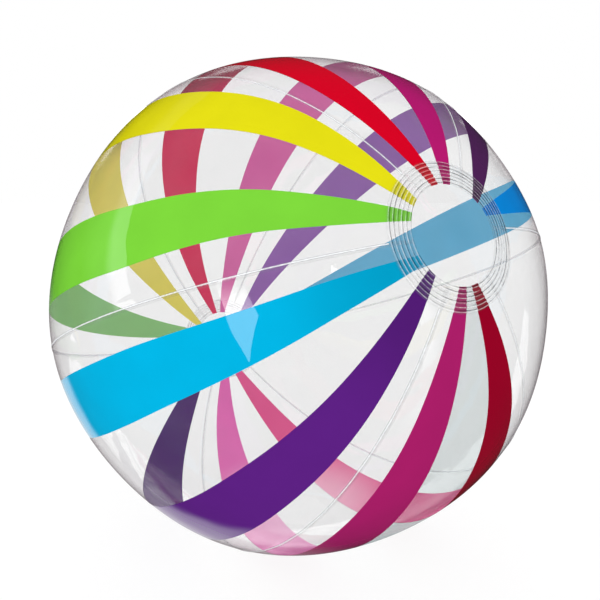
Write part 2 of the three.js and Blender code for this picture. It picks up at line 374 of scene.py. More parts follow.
def add_object(name, vertices, faces, material_slots, face_materials=None, marks=None):
    mesh = bpy.data.meshes.new(name)
    mesh.from_pydata(vertices, [], faces)
    for material in material_slots:
        mesh.materials.append(material)
    if face_materials is not None:
        mesh.polygons.foreach_set("material_index", face_materials)
    for mark, values in (marks or {}).items():
        attribute = mesh.attributes.new(mark, "FLOAT", "POINT")
        attribute.data.foreach_set("value", np.asarray(values, np.float32))
    mesh.polygons.foreach_set("use_smooth", [True] * len(mesh.polygons))
    mesh.set_sharp_from_angle(angle=math.radians(SHARP_DEG))
    mesh.update()
    made = bpy.data.objects.new(name, mesh)
    bpy.context.scene.collection.objects.link(made)
    return made


def closed_sheet(name, outer, inner, faces, slots, outer_materials, inner_materials, marks):
    """A film with an outer and an inner face over the same faces, closed along every free edge."""
    count = len(outer)
    edges = {(a, b) for face in faces for a, b in zip(face, face[1:] + face[:1])}
    free = [(a, b) for a, b in sorted(edges) if (b, a) not in edges]
    inside = [tuple(count + i for i in reversed(face)) for face in faces]
    rim = [(b, a, a + count, b + count) for a, b in free]
    return add_object(
        name,
        np.concatenate([outer, inner]),
        list(faces) + inside + rim,
        slots,
        list(outer_materials) + list(inner_materials) + [0] * len(rim),
        {mark: np.concatenate([values, values]) for mark, values in marks.items()},
    )


def disc_zone_rows():
    """Angles from a pole through the ridged weld and the gathers just outside it."""
    ridged = np.linspace(DISC_BORE_DEG, DISC_RIM_DEG, GORE_ROWS_PER_RIDGE * RIDGES + 1)
    outside = DISC_RIM_DEG + np.array([0.3, 0.7, 1.2, 1.8, 2.6])
    return np.concatenate([ridged, outside])


def gore_rows():
    near = disc_zone_rows()
    middle = np.linspace(near[-1], 180 - near[-1], GORE_STEPS + 1)[1:-1]
    return np.concatenate([near, middle, (180 - near)[::-1]])


def stripe_edges(rows, shift):
    """For each row, both edges of both stripes, as degrees from the start of the gore."""
    from_pole = from_nearest_pole(rows) - DISC_BORE_DEG
    spread = STRIPE_SPREAD_DEG - STRIPE_SPREAD_DROP_DEG * np.exp(-from_pole / STRIPE_SPREAD_REACH_DEG)
    width = STRIPE_WIDTH_DEG - STRIPE_WIDTH_DROP_DEG * np.exp(-from_pole / STRIPE_WIDTH_REACH_DEG)
    moved = shift * (1 - smooth((rows - SHIFT_HELD_DEG) / (SHIFT_GONE_DEG - SHIFT_HELD_DEG)))
    middle = GORE_WIDTH_DEG / 2 + moved
    return [
        middle - spread - width / 2,
        middle - spread + width / 2,
        middle + spread - width / 2,
        middle + spread + width / 2,
    ]


FILM_SLOT, WELD_SLOT, FIRST_INK_SLOT = 0, 1, 2
BETWEEN_STRIPES = 2  # the number of the band between a gore's two stripes


def gore_bands(rows, inks, shift, weld_place):
    """Bands across a gore: where each begins, its columns, its outer and inner materials and its
    kind; and where the last one ends."""
    per_length = np.degrees(1 / (BALL_RADIUS * np.sin(np.radians(rows))))
    film = (FILM_SLOT, FILM_SLOT)
    if inks:
        stripes = stripe_edges(rows, shift)
        first, second = [(FIRST_INK_SLOT + 2 * i, FIRST_INK_SLOT + 2 * i + 1) for i in range(2)]
        bands = [(np.zeros_like(rows), 9, film, "film")]
        bands += [(stripes[0], 10, first, "film"), (stripes[1], 14, film, "film")]
        bands += [(stripes[2], 10, second, "film"), (stripes[3], 8, film, "film")]
    else:
        bands = [(np.zeros_like(rows), 50, film, "film")]
    weld_start = GORE_WIDTH_DEG + weld_place * (LAP_WIDTH - WELD_WIDTH) * per_length
    weld_end = weld_start + WELD_WIDTH * per_length
    lap_end = GORE_WIDTH_DEG + LAP_WIDTH * per_length
    bands.append((np.full_like(rows, GORE_WIDTH_DEG - LAP_RISE_DEG), 3, film, "rise"))
    if weld_place > 0:
        bands.append((np.full_like(rows, GORE_WIDTH_DEG), 2, film, "lap"))
    bands.append((weld_start, 6, (WELD_SLOT, WELD_SLOT), "weld"))
    if weld_place < 1:
        bands.append((weld_end, 2, film, "lap"))
    return bands, lap_end


def gore_grid(seam, rows, inks, shift, weld_place):
    """A gore's grid of columns and rows: its longitudes, its offsets, how near it is to the weld's
    edge or beyond it, and its place among the bands; and each column strip's two materials."""
    bands, end = gore_bands(rows, inks, shift, weld_place)
    starts = [band[0] for band in bands] + [end]
    lons, offsets, edges, places, strips = [], [], [], [], []
    for number, (start, count, materials, kind) in enumerate(bands):
        for step in range(count):
            part = step / count
            lons.append(start + part * (starts[number + 1] - start))
            rise = {"film": 0.0, "rise": smooth(part)}.get(kind, 1.0)
            bead = WELD_HEIGHT * math.sin(math.pi * part) if kind == "weld" else 0
            offsets.append(LAP_OFFSET * rise + bead)
            # near the weld's edges this draws its painted dark lines, and in its middle the painted
            # highlight
            edges.append(1 - 2 * min(part, 1 - part) if kind == "weld" else 1.0)
            places.append(number + part)
            strips.append(materials)
    lons.append(end)
    offsets.append(LAP_OFFSET)
    edges.append(1.0)
    places.append(len(bands))
    level = np.zeros(len(rows))
    offsets, edges, places = [np.array(values)[:, None] + level for values in (offsets, edges, places)]
    return seam + np.array(lons), offsets, edges, places, strips


def valve_window(lons, rows):
    """Which faces of the clear gore's grid make room for the rings around the valve."""
    middle_lons = (lons[:-1, :-1] + lons[1:, 1:]) / 2
    middle_rows = (rows[:-1] + rows[1:]) / 2
    reach = VALVE_WINDOW_DEG / math.sin(math.radians(VALVE_COL_DEG))
    near_lon = np.abs(middle_lons - VALVE_LON_DEG) < reach
    return near_lon & (np.abs(middle_rows - VALVE_COL_DEG) < VALVE_WINDOW_DEG)


def valve_hole(lons, rows, corner, window):
    """Rings of points from the edge of the valve's window in to its hole, as longitudes and angles
    from the pole, and the faces between them."""
    columns = np.flatnonzero(window.any(1))
    lines = np.flatnonzero(window.any(0))
    first_i, last_i = columns[0], columns[-1] + 1
    first_j, last_j = lines[0], lines[-1] + 1
    loop = [(i, first_j) for i in range(first_i, last_i)]
    loop += [(last_i, j) for j in range(first_j, last_j)]
    loop += [(i, last_j) for i in range(last_i, first_i, -1)]
    loop += [(first_i, j) for j in range(last_j, first_j, -1)]
    stretch = math.sin(math.radians(VALVE_COL_DEG))
    edge = np.array([(lons[i, j] - VALVE_LON_DEG, rows[j] - VALVE_COL_DEG) for i, j in loop])
    edge = edge * (stretch, 1)
    hole = edge / np.linalg.norm(edge, axis=1)[:, None] * math.degrees(HOLE_RADIUS / BALL_RADIUS)
    ring_lons, ring_cols, faces = [], [], []
    before = [corner(i, j) for i, j in loop]
    count = len(loop)
    for ring in range(1, VALVE_RINGS + 1):
        part = 1 - (1 - ring / VALVE_RINGS) ** 1.3
        flat = edge + part * (hole - edge)
        ring_lons.append(VALVE_LON_DEG + flat[:, 0] / stretch)
        ring_cols.append(VALVE_COL_DEG + flat[:, 1])
        start = lons.size + (ring - 1) * count
        here = [start + k for k in range(count)]
        for k in range(count):
            after = (k + 1) % count
            faces.append((before[k], here[k], here[after], before[after]))
        before = here
    return np.concatenate(ring_lons), np.concatenate(ring_cols), faces


def gore_faces(rows, strips, corner, window):
    """The grid's faces outside the valve's window, and their outer and inner materials. Under the
    discs the seams' weld is pressed flat into the ridged one."""
    faces, outer_materials, inner_materials = [], [], []
    for i, (outer, inner) in enumerate(strips):
        for j, row in enumerate((rows[:-1] + rows[1:]) / 2):
            if window[i, j]:
                continue
            plain = outer == WELD_SLOT and from_nearest_pole(row) < DISC_RIM_DEG
            faces.append((corner(i, j), corner(i, j + 1), corner(i + 1, j + 1), corner(i + 1, j)))
            outer_materials.append(FILM_SLOT if plain else outer)
            inner_materials.append(FILM_SLOT if plain else inner)
    return faces, outer_materials, inner_materials


def build_gore(number, name, cad_node, slot, inks, shift, weld_place):
    rows = gore_rows()
    seam = number * GORE_WIDTH_DEG
    lons, offsets, edges, places, strips = gore_grid(seam, rows, inks, shift, weld_place)
    columns, lines = lons.shape

    def corner(i, j):
        return int(i * lines + j)

    has_valve = not inks
    window = valve_window(lons, rows) if has_valve else np.zeros((columns - 1, lines - 1), bool)
    faces, outer_materials, inner_materials = gore_faces(rows, strips, corner, window)
    between = (places >= BETWEEN_STRIPES) & (places <= BETWEEN_STRIPES + 1)
    toward_front = smooth((GREY_GONE_DEG - rows) / (GREY_GONE_DEG - GREY_HELD_DEG))
    # painted shade: the film between this gore's stripes is greyed toward its front pole
    grey = between * (number == PAINTED_SHADE_GORE) * toward_front
    points = np.stack([lons, np.broadcast_to(rows, lons.shape), offsets, edges, grey])
    points = points.reshape(len(points), -1)
    if has_valve:
        hole_lons, hole_cols, hole_faces = valve_hole(lons, rows, corner, window)
        none = np.zeros(len(hole_lons))
        points = np.concatenate([points, [hole_lons, hole_cols, none, none + 1, none]], axis=1)
        faces += hole_faces
        outer_materials += [FILM_SLOT] * len(hole_faces)
        inner_materials += [FILM_SLOT] * len(hole_faces)
    used = sorted({i for face in faces for i in face})
    renumber = {old: new for new, old in enumerate(used)}
    faces = [tuple(renumber[i] for i in face) for face in faces]
    lon, col, offset, edge, greyness = points[:, used]
    slots = [MATERIALS["film"], MATERIALS["weld"]]
    for ink in inks:
        slots += [MATERIALS["ink_" + ink], MATERIALS["inside_" + ink]]
    piece = closed_sheet(
        name,
        surface(lon, col, offset),
        surface(lon, col, offset - FILM),
        faces,
        slots,
        outer_materials,
        inner_materials,
        # shade is painted shade on the ink; dark, white and grey draw painted shade and painted highlights
        # on the film
        {"shade": ink_shade(number, col), "dark": edge, "white": 1 - edge, "grey": greyness},
    )
    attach(piece, "ball")
    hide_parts(cad_node)


def disc_marks(angles):
    """The painted dark refraction lines and painted highlights that the ridges show, broken here and
    there.
    """
    ridge = across_weld(angles) * RIDGES
    phase = ridge % 1
    number = np.clip(ridge.astype(int), 0, RIDGES - 1)
    segment = np.arange(DISC_SEGMENTS)[:, None] + 0 * number
    shape = (RIDGES, DISC_SEGMENTS)
    on_ridges = ridge > 0
    marks = {}
    for mark, (line, dashes, shown) in RIDGE_LINES.items():
        long_dashes, short_dashes = [patchy(seed, shape, reach) for seed, reach in dashes]
        least, by_long, by_short = shown
        share = np.clip(least + by_long * long_dashes + by_short * (short_dashes - 0.5), 0, 1)
        marks[mark] = on_ridges * pulse(phase, *line) * share[number, segment]
    return marks


def build_disc(name, cad_node, flip):
    crown = np.linspace(0, DISC_BORE_DEG, DISC_CROWN_ROWS + 1)[1:-1]
    ridged = np.linspace(DISC_BORE_DEG, DISC_RIM_DEG, DISC_ROWS_PER_RIDGE * RIDGES + 1)
    angles = np.concatenate([crown, ridged])
    lons = np.arange(DISC_SEGMENTS) * 360 / DISC_SEGMENTS
    lon_grid, angle_grid = np.meshgrid(lons, angles, indexing="ij")
    all_lons = np.append(lon_grid.ravel(), 0)
    all_angles = np.append(angle_grid.ravel(), 0)
    cols = 180 - all_angles if flip else all_angles
    lines, pole = len(angles), lon_grid.size
    faces = []
    for i in range(DISC_SEGMENTS):
        here, after = i * lines, (i + 1) % DISC_SEGMENTS * lines
        faces.append((pole, here, after))
        for j in range(lines - 1):
            faces.append((here + j, here + j + 1, after + j + 1, after + j))
    if flip:
        faces = [tuple(reversed(face)) for face in faces]
    middles = [all_angles[list(face)].mean() for face in faces]
    kinds = [1 if middle > DISC_BORE_DEG else 0 for middle in middles]
    marks = disc_marks(angle_grid)
    piece = closed_sheet(
        name,
        surface(all_lons, cols, DISC_OFFSET + FILM),
        surface(all_lons, cols, DISC_OFFSET),
        faces,
        [MATERIALS["film"], MATERIALS["ridged"]],
        kinds,
        [0] * len(kinds),
        {mark: np.append(values.ravel(), 0) for mark, values in marks.items()},
    )
    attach(piece, "ball")
    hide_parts(cad_node)


# ---- materials ----

MATERIALS = {}


def linear(colour):
    """An sRGB colour of 0 to 255 as the linear RGBA that shaders take."""
    parts = np.array(colour) / 255
    values = np.where(parts <= 0.04045, parts / 12.92, ((parts + 0.055) / 1.055) ** 2.4)
    return (*values.tolist(), 1.0)


def levelled(colour, level):
    """The linear RGBA of an sRGB colour, darker or lighter by this factor."""
    parts = np.array(linear(colour))[:3]
    return tuple(np.append(np.minimum(parts * level, 1), 1))


def node(tree, kind, inputs=None, **settings):
    """A new node with these sockets set or linked, and these settings."""
    made = tree.nodes.new(kind)
    for name, value in settings.items():
        setattr(made, name, value)
    for key, value in (inputs or {}).items():
        if isinstance(value, bpy.types.NodeSocket):
            tree.links.new(value, made.inputs[key])
        else:
            made.inputs[key].default_value = value
    return made


def math_node(tree, operation, a, b=0.0, clamp=False):
    return node(tree, "ShaderNodeMath", {0: a, 1: b}, operation=operation, use_clamp=clamp).outputs[0]


def ramp(tree, value, low, high, start, end):
    """From start to end, smoothly, as the value goes from low to high."""
    return node(
        tree,
        "ShaderNodeMapRange",
        {"Value": value, "From Min": low, "From Max": high, "To Min": start, "To Max": end},
        interpolation_type="SMOOTHSTEP",
    ).outputs[0]


def start_material(name, shown):
    material = bpy.data.materials.new(name)
    material.use_nodes = True
    material.diffuse_color = shown
    tree = material.node_tree
    tree.nodes.clear()
    MATERIALS[name] = material
    return tree


def end_material(tree, shader):
    output = node(tree, "ShaderNodeOutputMaterial")
    tree.links.new(shader, output.inputs["Surface"])


def drawn_mark(tree, name):
    """How much of this mark the mesh has here."""
    return node(tree, "ShaderNodeAttribute", attribute_name=name).outputs["Fac"]


def blend_shaders(tree, share, first, second):
    return node(tree, "ShaderNodeMixShader", {0: share, 1: first, 2: second}).outputs[0]


def noise(tree, scale, detail):
    where = node(tree, "ShaderNodeTexCoord").outputs["Object"]
    made = node(tree, "ShaderNodeTexNoise", {"Vector": where, "Scale": scale, "Detail": detail})
    return made.outputs["Fac"]


def bump(tree, height, strength, distance):
    made = node(tree, "ShaderNodeBump", {"Height": height, "Strength": strength, "Distance": distance})
    return made.outputs[0]


def film_bump(tree, grain=0.0):
    """The film's slow waviness, and a fine grain where the weld has marked it."""
    patches, strength, depth = FILM_WAVES
    normal = bump(tree, noise(tree, *patches), strength, depth)
    if grain:
        waviness = normal
        patches, depth = WELD_GRAIN
        normal = bump(tree, noise(tree, *patches), grain, depth)
        tree.links.new(waviness, normal.node.inputs["Normal"])
    return normal


def colour_mix(tree, factor, first, second):
    made = node(tree, "ShaderNodeMix", data_type="RGBA")
    for index, value in ((0, factor), (6, first), (7, second)):
        if isinstance(value, bpy.types.NodeSocket):
            tree.links.new(value, made.inputs[index])
        else:
            made.inputs[index].default_value = value
    return made.outputs[2]


def film_material(name, look):
    """Clear film: it passes light with a faint tint that deepens at glancing angles, scatters a
    little of it, and reflects the rest. Marked film has dark and white lines drawn by the mesh, which
    are painted shade and painted highlights with a painted glow. Other film is greyed by painted
    shade where the mesh's grey mark says."""
    marked = "white_share" in look
    tree = start_material(name, FILM_SHOWN)
    normal = film_bump(tree, look.get("grain", 0.0))
    facing = node(tree, "ShaderNodeLayerWeight", {"Blend": 0.5, "Normal": normal}).outputs["Facing"]
    limb = math_node(tree, "POWER", facing, LIMB_POWER)
    tinted = colour_mix(tree, limb, linear(look["tint"]), linear(look["limb_tint"]))
    share = math_node(tree, "MULTIPLY", noise(tree, *HAZE_PATCHES), 2 * look["haze"])
    white = node(tree, "ShaderNodeBsdfDiffuse", {"Color": linear(SCATTERED), "Normal": normal})
    if marked:
        # painted shade: the dark lines
        dark = math_node(tree, "MULTIPLY", drawn_mark(tree, "dark"), look["dark_share"])
        tinted = colour_mix(tree, dark, tinted, linear(look["dark_tint"]))
        # painted highlights: the white lines, with a painted glow
        broken = math_node(tree, "MULTIPLY", noise(tree, *LINE_BREAKS), 2 * look["white_share"])
        lines = math_node(tree, "MULTIPLY", drawn_mark(tree, "white"), broken)
        share = math_node(tree, "ADD", share, lines, clamp=True)
        shine = node(tree, "ShaderNodeEmission", {"Color": linear(SCATTERED), "Strength": LINE_GLOW})
        white = node(tree, "ShaderNodeAddShader", {0: white.outputs[0], 1: shine.outputs[0]})
    else:
        # painted shade: the grey mark greys the film between one gore's stripes
        tinted = colour_mix(tree, drawn_mark(tree, "grey"), tinted, linear(PAINTED_SHADE_GREY))
    clear = node(tree, "ShaderNodeBsdfTransparent", {"Color": tinted})
    body = blend_shaders(tree, share, clear.outputs[0], white.outputs[0])
    gloss = node(
        tree,
        "ShaderNodeBsdfGlossy",
        {"Color": WHITE, "Roughness": look["roughness"], "Normal": normal},
    )
    glancing = math_node(tree, "POWER", facing, GLANCING_POWER)
    rise = math_node(tree, "MULTIPLY", glancing, look["most"] - look["least"])
    reflected = math_node(tree, "ADD", rise, look["least"])
    end_material(tree, blend_shaders(tree, reflected, body, gloss.outputs[0]))


def inside_light(tree, colour):
    """The ink's colour inside the ball: paled by the ground's light low down, and darker high in
    front, where it has the dark ceiling behind it."""
    coordinates = node(tree, "ShaderNodeTexCoord").outputs["Object"]
    where = node(tree, "ShaderNodeSeparateXYZ", {0: coordinates})
    low = ramp(tree, where.outputs["Z"], *PALE_HEIGHTS, PALE_SHARE, 0.0)
    paled = colour_mix(tree, low, colour, linear(FLOOR_PALE))
    high = ramp(tree, where.outputs["Z"], *DARK_HEIGHTS, 0.0, DARK_SHARE)
    forward = ramp(tree, where.outputs["Y"], *DARK_DEPTHS, 1.0, 0.0)
    return colour_mix(tree, math_node(tree, "MULTIPLY", high, forward), paled, linear(CEILING_DARK))


def ink_material(name, colour, roughness, specular, glow=0.0):
    """Printed ink under a gloss film, a little uneven, with painted shade where the mesh's shade says.
    Inside the ball it has a painted glow in place of the light that comes through it."""
    tree = start_material(name, linear(colour))
    thick, thin = levelled(colour, THICK_INK), levelled(colour, THIN_INK)
    ink = colour_mix(tree, noise(tree, *INK_PATCHES), thick, thin)
    if glow:
        ink = inside_light(tree, ink)
    else:
        # painted shade, as much as the mesh's shade mark says
        ink = colour_mix(tree, drawn_mark(tree, "shade"), ink, BLACK)
    smear = math_node(tree, "MULTIPLY", noise(tree, *INK_SMEARS), 2 * roughness)
    printed = node(
        tree,
        "ShaderNodeBsdfPrincipled",
        {
            "Base Color": ink,
            "Roughness": smear,
            "Normal": film_bump(tree),
            "Specular IOR Level": specular,
            "Emission Color": ink,
            # painted glow, on the inside faces only, though the ink is no lamp
            "Emission Strength": glow,
        },
    )
    end_material(tree, printed.outputs[0])


def vinyl_material(name):
    """Soft moulded vinyl, satin and a little see-through."""
    tree = start_material(name, linear(VINYL))
    patches, strength, depth = VINYL_GRAIN
    mottled = colour_mix(tree, noise(tree, *VINYL_PATCHES), levelled(VINYL, THICK_INK), linear(VINYL))
    body = node(
        tree,
        "ShaderNodeBsdfPrincipled",
        {
            "Base Color": mottled,
            "Roughness": VINYL_ROUGHNESS,
            "Normal": bump(tree, noise(tree, *patches), strength, depth),
        },
    )
    clear = node(tree, "ShaderNodeBsdfTransparent", {"Color": linear(VINYL_DEPTH)})
    facing = node(tree, "ShaderNodeLayerWeight", {"Blend": 0.5}).outputs["Facing"]
    deeper = math_node(tree, "MULTIPLY", facing, VINYL_CLEAR_SHARE)
    solid = math_node(tree, "ADD", deeper, 1 - VINYL_CLEAR_SHARE)
    end_material(tree, blend_shaders(tree, solid, clear.outputs[0], body.outputs[0]))


for film_name, film_look in FILM_LOOKS.items():
    film_material(film_name, film_look)
for ink_name, (outside, inside) in INKS.items():
    ink_material("ink_" + ink_name, outside, INK_ROUGHNESS, INK_SPECULAR)
    # the inside faces: painted lit and shaded copies of the inks, with a painted glow
    ink_material("inside_" + ink_name, inside, INSIDE_ROUGHNESS, INSIDE_SPECULAR, INSIDE_GLOW)
vinyl_material("valve_vinyl")

# ---- the ball ----

for gore_number, gore in enumerate(GORES):
    build_gore(gore_number, *gore)
build_disc("pole_disc_front", "end_disc_front", False)
build_disc("pole_disc_back", "end_disc_back", True)

# ---- the valve ----

def rounded(profile, radius, steps=4):
    """The profile with each corner cut to an arc-like curve that starts this far from it."""
    points = [np.array(point, float) for point in profile]
    curve = []
    for before, corner, after in zip(points[-1:] + points[:-1], points, points[1:] + points[:1]):
        to_before, to_after = before - corner, after - corner
        reach = min(radius, np.linalg.norm(to_before) / 2.2, np.linalg.norm(to_after) / 2.2)
        if abs(corner[0]) < 1e-9:
            curve.append(corner)
            continue
        start = corner + unit(to_before) * reach
        end = corner + unit(to_after) * reach
        for step in range(steps + 1):
            t = step / steps
            curve.append((1 - t) ** 2 * start + 2 * t * (1 - t) * corner + t * t * end)
    return curve


def vinyl_object(name, vertices, faces):
    return add_object(name, vertices, faces, [MATERIALS["valve_vinyl"]])


def lathe(name, profile, radius=0.25):
    """A turned solid about the valve's axis, from a closed profile of radius and height pairs that
    runs anticlockwise, in millimetres. Points on the axis close it there."""
    curve = rounded(profile, radius)
    vertices, index = [], []
    for r, z in curve:
        if r < 1e-6:
            index.append([len(vertices)] * VALVE_SEGMENTS)
            vertices.append(in_valve(0, 0, z))
            continue
        index.append(list(range(len(vertices), len(vertices) + VALVE_SEGMENTS)))
        for step in range(VALVE_SEGMENTS):
            angle = 2 * math.pi * step / VALVE_SEGMENTS
            vertices.append(in_valve(r * math.cos(angle), r * math.sin(angle), z))
    faces = []
    for row, following in zip(index, index[1:] + index[:1]):
        for step in range(VALVE_SEGMENTS):
            after = (step + 1) % VALVE_SEGMENTS
            corners = [row[step], row[after], following[after], following[step]]
            face = tuple(dict.fromkeys(corners))
            if len(face) > 2:
                faces.append(face)
    return vinyl_object(name, vertices, faces)


def tube_faces(rows, around):
    """The walls and both ends of a tube whose rows of vertices follow one another."""
    faces = []
    for start in range(0, (rows - 1) * around, around):
        for step in range(around):
            after = (step + 1) % around
            faces.append((start + step, start + after, start + around + after, start + around + step))
    faces.append(tuple(range(around - 1, -1, -1)))
    faces.append(tuple(range((rows - 1) * around, rows * around)))
    return faces


def band(name, path, half_width, thickness, corner=0.3):
    """A flat strap along a path of x and z pairs in the valve's plane of symmetry."""
    line = np.array(path, float)
    along = np.gradient(line, axis=0)
    along /= np.linalg.norm(along, axis=1)[:, None]
    normal = np.column_stack([-along[:, 1], along[:, 0]])
    w, h = half_width, thickness / 2
    section = rounded([(-w, -h), (w, -h), (w, h), (-w, h)], corner, 3)
    vertices = []
    for point, side in zip(line, normal):
        for y, up in section:
            spot = point + up * side
            vertices.append(in_valve(spot[0], y, spot[1]))
    return vinyl_object(name, vertices, tube_faces(len(line), len(section)))


def plate(name, outline, bottom, top, edge=0.12):
    """A flat plate over an outline of x and y pairs that runs anticlockwise, with its edges cut."""
    line = np.array(outline, float)
    along = np.roll(line, -1, axis=0) - np.roll(line, 1, axis=0)
    along /= np.linalg.norm(along, axis=1)[:, None]
    inward = np.column_stack([-along[:, 1], along[:, 0]])
    rings = [(edge, bottom), (0, bottom + edge), (0, top - edge), (edge, top)]
    vertices = [in_valve(x, y, z) for inset, z in rings for x, y in line + inset * inward]
    return vinyl_object(name, vertices, tube_faces(len(rings), len(line)))


def place(piece, body, *nodes):
    """Put a valve piece on its body, if it is given one, and in place of its CAD nodes."""
    if body:
        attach(piece, body)
    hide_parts(*nodes)
    return piece


def flange_profile():
    """A flat ring with fine grooves around its upper face."""
    inner, outer, half = FLANGE["inner"], FLANGE["outer"], FLANGE["groove_half"]
    top, bottom = FLANGE["top"], FLANGE["bottom"]
    profile = [(inner, bottom), (outer, bottom), (outer, top)]
    for radius in FLANGE_GROOVES:
        profile += [(radius + half, top), (radius, top - FLANGE["groove"]), (radius - half, top)]
    return profile + [(inner, top)]


def collar_profile():
    """A funnel from the flange down to the stem's foot."""
    return [
        (COLLAR["foot"], COLLAR["bottom"]), (COLLAR["foot_outer"], COLLAR["bottom"]),
        (COLLAR["mouth_outer"], COLLAR["top"]), (COLLAR["mouth"], COLLAR["top"]),
    ]


def stem_profile():
    """A tube with a lip at its mouth, a bead around it, and the flap's seat at its foot."""
    outer, bead, lip = STEM["outer"], STEM["bead"], STEM["lip"]
    bead_top, bead_bottom, slope = STEM["bead_top"], STEM["bead_bottom"], STEM["bead_slope"]
    return [
        (STEM["seat"], STEM["bottom"]), (outer, STEM["bottom"]), (outer, bead_bottom),
        (bead, bead_bottom + slope), (bead, bead_top - slope), (outer, bead_top),
        (outer, STEM["neck"]), (lip, STEM["lip_foot"]), (lip, STEM["top"]), (STEM["bore"], STEM["top"]),
        (STEM["bore"], STEM["seat_top"]), (STEM["seat"], STEM["seat_top"] - STEM["seat_slope"]),
    ]


def plug_profile():
    """A tapered stopper under a head with a shallow dish in it."""
    head, top = PLUG["head"], PLUG["top"]
    return [
        (0, PLUG["nose_z"]), (PLUG["nose"], PLUG["nose_z"]), (PLUG["neck"], STEM["top"]),
        (PLUG["neck"], PLUG["underside"]), (head, PLUG["underside"]), (head, top),
        (head - PLUG["rim"], top), (PLUG["boss"], top - PLUG["dish"]), (0, top - PLUG["dish_middle"]),
    ]


def strap_path():
    """From the stem's lip out to the fold, and back to the plug's head."""
    x, z = STRAP["fold_x"], STRAP["fold_z"]
    turns = np.linspace(0, math.pi, 13)
    fold = [(x - STRAP["reach"] * math.sin(turn), z - STRAP["rise"] * math.cos(turn)) for turn in turns]
    lower = [(-5.8, 0.22), (-6.8, 0.22), (-7.7, 0.23)]
    upper = [(-7.6, 1.38), (-6.6, 1.4), (-5.9, 1.4)]
    return lower + fold + upper


def flap_outline():
    """A disc with a tab at one side, which the flap hangs by."""
    radius, half, end, corner = FLAP["radius"], FLAP["half_width"], FLAP["tab_end"], FLAP["corner"]
    tab_turn = math.asin(half / radius)
    turns = np.linspace(math.pi + tab_turn, 3 * math.pi - tab_turn, 61)
    disc = [(radius * math.cos(turn), radius * math.sin(turn)) for turn in turns]
    tab = [(end + corner, half), (end, half - corner), (end, corner - half), (end + corner, -half)]
    return disc + tab


place(lathe("flange_ring", flange_profile(), radius=0.12), "ball", "valve_flange")
collar = place(lathe("folding_collar", collar_profile(), radius=0.15), None, "valve_collar")
place(lathe("push_stem", stem_profile()), "stem", "valve_stem")
place(lathe("stopper_plug", plug_profile()), "plug", "valve_plug")
strap = place(
    band("tether_strap", strap_path(), STRAP["half_width"], STRAP["thickness"]), None, "plug_strap",
)
place(plate("flap_leaf", flap_outline(), FLAP["bottom"], FLAP["top"]), "flap", "check_flap")

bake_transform(collar)
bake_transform(strap)

# ---- stage, light and camera ----

CAMERA_ELEVATION_DEG = 12
CAMERA_DISTANCE = 2.5 * BALL_RADIUS
CAMERA_LENS_MM = 34.43
AIM_UP = 5.8 * MM
AIM_LEFT = 0.6 * MM
FLOOR_HALF = 40 * BALL_RADIUS
FLOOR_PAPER = 0.12  # how much light it throws back
FLOOR_GLOW = 0.82  # its own light, and as the camera sees it
FLOOR_GLOW_SEEN = 0.9
KEY_SIDE = unit((-0.65, -0.55, 0.5))  # where most of the soft light comes from
SOFT_LIGHT = (0.74, 1.2)  # opposite the key side, and on it
# The white backdrop in reflections, by direction: behind the ball, low, and to the left
BACKDROP_TURN = 0.75
BACKDROP_BEHIND = (-0.05, 0.14)
BACKDROP_LOW = (-0.42, -0.08)
BACKDROP_LEFT = (-0.3, 0.15)
BACKDROP_LEVEL = 0.8
DARKEST_MIRRORED = 0.02

# Softboxes: how strong, over which parts of their length or breadth their light changes, and how
# much of it is left there
PANEL_DISTANCE = 20 * BALL_RADIUS
PANEL_ROWS = 25
ARCH_DROOP = 0.009  # degrees that an arch falls for each square degree from its top
LEFT_STRIP = {"strength": 1.9, "full": 0.02, "dying": 0.7, "least": 0.06}
LEFT_STRIP_ACROSS = {"full": 0.22, "dying": 0.25, "faint": 0.3}
FRONT_BOX = {"strength": 3.6, "rising": 0.4, "least": 0.05}
BACK_BAND_STRENGTH = 2.5


def direction(azimuth, elevation):
    """A direction from the ball: azimuth 0 is towards the camera, and 90 to its right."""
    a, e = math.radians(azimuth), math.radians(elevation)
    return np.array([math.sin(a) * math.cos(e), -math.cos(a) * math.cos(e), math.sin(e)])


def make_floor():
    """White paper that the ball stands on, which is not there when it is seen from below."""
    half = FLOOR_HALF
    mesh = bpy.data.meshes.new("floor")
    corners = [(-half, -half, 0), (half, -half, 0), (half, half, 0), (-half, half, 0)]
    mesh.from_pydata(corners, [], [(0, 1, 2, 3)])
    floor = bpy.data.objects.new("floor", mesh)
    bpy.context.scene.collection.objects.link(floor)
    tree = start_material("floor_paper", WHITE)
    paper = node(tree, "ShaderNodeBsdfDiffuse", {"Color": (FLOOR_PAPER, FLOOR_PAPER, FLOOR_PAPER, 1)})
    seen = node(tree, "ShaderNodeLightPath").outputs["Is Camera Ray"]
    level = node(tree, "ShaderNodeMix", {0: seen, 2: FLOOR_GLOW, 3: FLOOR_GLOW_SEEN})
    glow = node(tree, "ShaderNodeEmission", {"Color": WHITE, "Strength": level.outputs[0]})
    lit = node(tree, "ShaderNodeAddShader", {0: paper.outputs[0], 1: glow.outputs[0]})
    unseen = node(tree, "ShaderNodeBsdfTransparent")
    from_below = node(tree, "ShaderNodeNewGeometry").outputs["Backfacing"]
    whole = node(tree, "ShaderNodeMixShader", {0: from_below, 1: lit.outputs[0], 2: unseen.outputs[0]})
    end_material(tree, whole.outputs[0])
    mesh.materials.append(MATERIALS["floor_paper"])
    floor.visible_glossy = False


def straight_edge(corners, steps=6):
    """Azimuths and elevations along the straight lines between these corners."""
    spots = [corners[0]]
    for start, end in zip(corners, corners[1:]):
        for part in np.arange(1, steps + 1) / steps:
            azimuth = start[0] + part * (end[0] - start[0])
            elevation = start[1] + part * (end[1] - start[1])
            spots.append((azimuth, elevation))
    return spots


